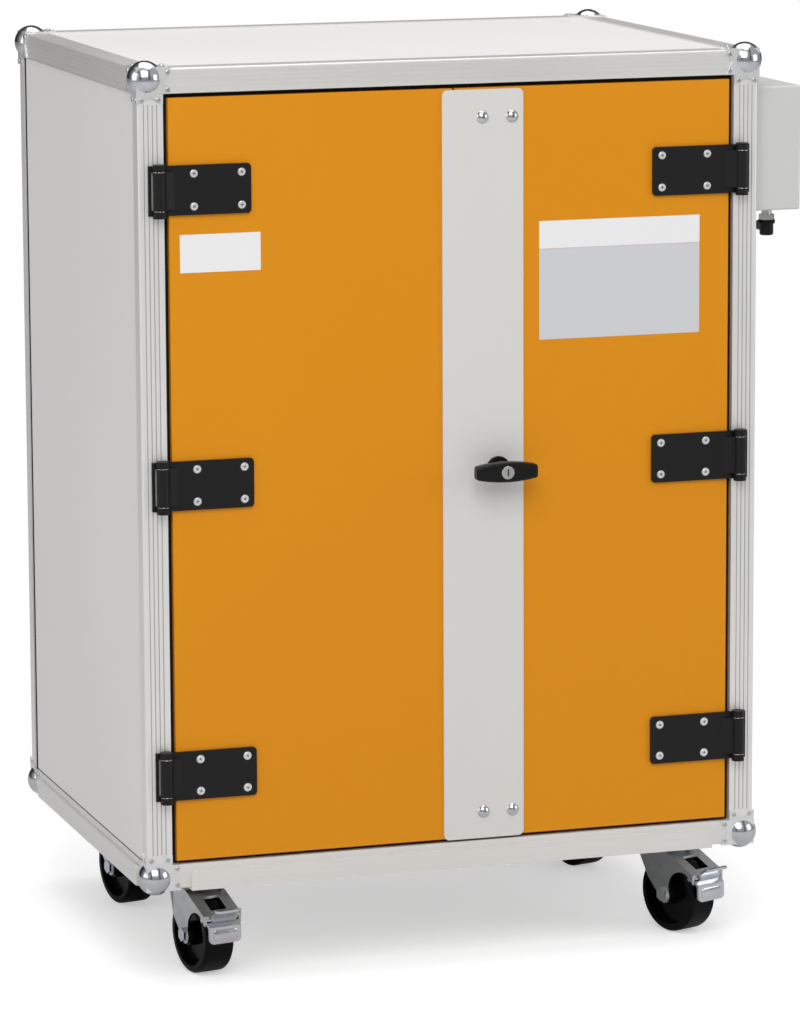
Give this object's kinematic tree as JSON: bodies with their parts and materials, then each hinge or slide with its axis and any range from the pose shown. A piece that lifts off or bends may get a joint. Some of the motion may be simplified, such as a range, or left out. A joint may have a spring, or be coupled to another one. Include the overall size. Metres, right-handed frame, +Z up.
{
  "type": "battery charging cabinet",
  "caption": "Mobile fire-safe battery charging cabinet with two hinged doors, a rod-locked cover strip, shelves, a side electrics box and braked swivel castors.",
  "frame": {"origin": "centre of the outer box's footprint on the floor, under the wheels", "axes": "+Z up along the cabinet's height, front face and doors towards -Y, +X to the viewer's right when facing the doors, where the electrics box is"},
  "size_m": [0.878, 0.6513, 1.1506],
  "materials": {
    "orange_laminate": "satin",
    "wall_laminate": "satin",
    "aluminium_extrusion": "anodised",
    "strip_coating": "light grey powder coat",
    "corner_steel": "nickel plated",
    "black_steel": "satin black",
    "zinc_steel": "zinc plated",
    "lock_steel": "polished",
    "insulating_board": "matt",
    "seal_rubber": "matt",
    "box_plastic": "light grey",
    "black_plastic": "black",
    "cap_plastic": "grey",
    "wheel_rubber": "matt",
    "sensor_plastic": "white"
  },
  "bodies": {
    "cabinet": {"corner_posts": "aluminium_extrusion", "frame_rails": "aluminium_extrusion", "ball_corners": "corner_steel", "side_panels": "wall_laminate", "back_panel": "wall_laminate", "top_panel": "wall_laminate", "floor_panel": "wall_laminate", "lining_boards": "insulating_board", "base_tray": "zinc_steel", "frame_seal": "seal_rubber", "hinge_frame_leaves": "black_steel", "hinge_pins": "black_steel", "shelf_uprights": "zinc_steel", "shelves": "zinc_steel", "shelf_clips": "zinc_steel", "power_strips": "black_plastic", "smoke_sensor": "sensor_plastic", "electrics_box_base": "box_plastic", "electrics_box_lid": "box_plastic", "box_lid_screws": "zinc_steel", "connector_fittings": "zinc_steel", "connector_plug": "black_plastic", "strike_plates": "zinc_steel", "castor_plates": "zinc_steel", "castor_kingpins": "zinc_steel", "castor_bolts": "zinc_steel"},
    "right_door": {"right_door_panel": "orange_laminate", "right_door_lining": "insulating_board", "right_hinge_leaves": "black_steel", "right_hinge_screws": "zinc_steel", "cover_strip": "strip_coating", "strip_bolts": "zinc_steel", "strip_screws": "zinc_steel", "handle_rosette": "black_plastic", "lock_case": "zinc_steel", "rod_guides": "zinc_steel"},
    "handle": {"t_handle": "black_plastic", "lock_pinion": "zinc_steel"},
    "lock_cylinder": {"key_cylinder": "lock_steel"},
    "upper_rod": {"upper_rod": "zinc_steel"},
    "lower_rod": {"lower_rod": "zinc_steel"},
    "left_door": {"left_door_panel": "orange_laminate", "left_door_lining": "insulating_board", "left_hinge_leaves": "black_steel", "left_hinge_screws": "zinc_steel"},
    "swivel_front_left": {"castor_fork_front_left": "zinc_steel", "castor_axle_front_left": "zinc_steel"},
    "wheel_front_left": {"castor_wheel_front_left": "wheel_rubber"},
    "pedal_front_left": {"brake_pedal_front_left": "zinc_steel"},
    "swivel_front_right": {"castor_fork_front_right": "zinc_steel", "castor_axle_front_right": "zinc_steel"},
    "wheel_front_right": {"castor_wheel_front_right": "wheel_rubber"},
    "pedal_front_right": {"brake_pedal_front_right": "zinc_steel"},
    "swivel_rear_left": {"castor_fork_rear_left": "zinc_steel", "castor_axle_rear_left": "zinc_steel"},
    "wheel_rear_left": {"castor_wheel_rear_left": "wheel_rubber"},
    "swivel_rear_right": {"castor_fork_rear_right": "zinc_steel", "castor_axle_rear_right": "zinc_steel"},
    "wheel_rear_right": {"castor_wheel_rear_right": "wheel_rubber"}
  },
  "joints": [
    {"name": "right_door", "type": "hinge", "parent": "cabinet", "child": "right_door", "pos_m": [0.34555, -0.2919, 0.6325], "axis": [0, 0, 1], "range_deg": [0, 175]},
    {"name": "left_door", "type": "hinge", "parent": "cabinet", "child": "left_door", "pos_m": [-0.40645, -0.2919, 0.6325], "axis": [0, 0, 1], "range_deg": [-175, 0]},
    {"name": "handle_turn", "type": "hinge", "parent": "right_door", "child": "handle", "pos_m": [0.02555, -0.2854, 0.6325], "axis": [0, 1, 0], "range_deg": [0, 90]},
    {"name": "key_turn", "type": "hinge", "parent": "handle", "child": "lock_cylinder", "pos_m": [0.02555, -0.2854, 0.6325], "axis": [0, 1, 0], "range_deg": [0, 90]},
    {"name": "upper_rod", "type": "slide", "parent": "right_door", "child": "upper_rod", "axis": [0, 0, 1], "range_m": [0, 0.01885]},
    {"name": "lower_rod", "type": "slide", "parent": "right_door", "child": "lower_rod", "axis": [0, 0, -1], "range_m": [0, 0.01885]},
    {"name": "castor_swivel_front_left", "type": "hinge", "parent": "cabinet", "child": "swivel_front_left", "pos_m": [-0.34645, -0.1679, 0.11], "axis": [0, 0, 1], "continuous": true},
    {"name": "wheel_roll_front_left", "type": "hinge", "parent": "swivel_front_left", "child": "wheel_front_left", "pos_m": [-0.3392, -0.2052, 0.05], "axis": [0.9816, 0.1908, 0], "continuous": true},
    {"name": "brake_pedal_front_left", "type": "hinge", "parent": "swivel_front_left", "child": "pedal_front_left", "pos_m": [-0.32985, -0.2533, 0.079], "axis": [0.9816, 0.1908, 0], "range_deg": [0, 12]},
    {"name": "castor_swivel_front_right", "type": "hinge", "parent": "cabinet", "child": "swivel_front_right", "pos_m": [0.28555, -0.1679, 0.11], "axis": [0, 0, 1], "continuous": true},
    {"name": "wheel_roll_front_right", "type": "hinge", "parent": "swivel_front_right", "child": "wheel_front_right", "pos_m": [0.29917, -0.20338, 0.05], "axis": [0.9336, 0.3584, 0], "continuous": true},
    {"name": "brake_pedal_front_right", "type": "hinge", "parent": "swivel_front_right", "child": "pedal_front_right", "pos_m": [0.31673, -0.24912, 0.079], "axis": [0.9336, 0.3584, 0], "range_deg": [0, 12]},
    {"name": "castor_swivel_rear_left", "type": "hinge", "parent": "cabinet", "child": "swivel_rear_left", "pos_m": [-0.34645, 0.2021, 0.11], "axis": [0, 0, 1], "continuous": true},
    {"name": "wheel_roll_rear_left", "type": "hinge", "parent": "swivel_rear_left", "child": "wheel_rear_left", "pos_m": [-0.3392, 0.1648, 0.05], "axis": [0.9816, 0.1908, 0], "continuous": true},
    {"name": "castor_swivel_rear_right", "type": "hinge", "parent": "cabinet", "child": "swivel_rear_right", "pos_m": [0.28555, 0.2021, 0.11], "axis": [0, 0, 1], "continuous": true},
    {"name": "wheel_roll_rear_right", "type": "hinge", "parent": "swivel_rear_right", "child": "wheel_rear_right", "pos_m": [0.29539, 0.16539, 0.05], "axis": [0.9659, 0.2588, 0], "continuous": true}
  ],
  "couplings": [
    {"joint": "left_door", "follows": "right_door", "ratio": -1},
    {"joint": "upper_rod", "follows": "handle_turn", "m_per_rad": 0.012},
    {"joint": "lower_rod", "follows": "handle_turn", "m_per_rad": 0.012}
  ]
}
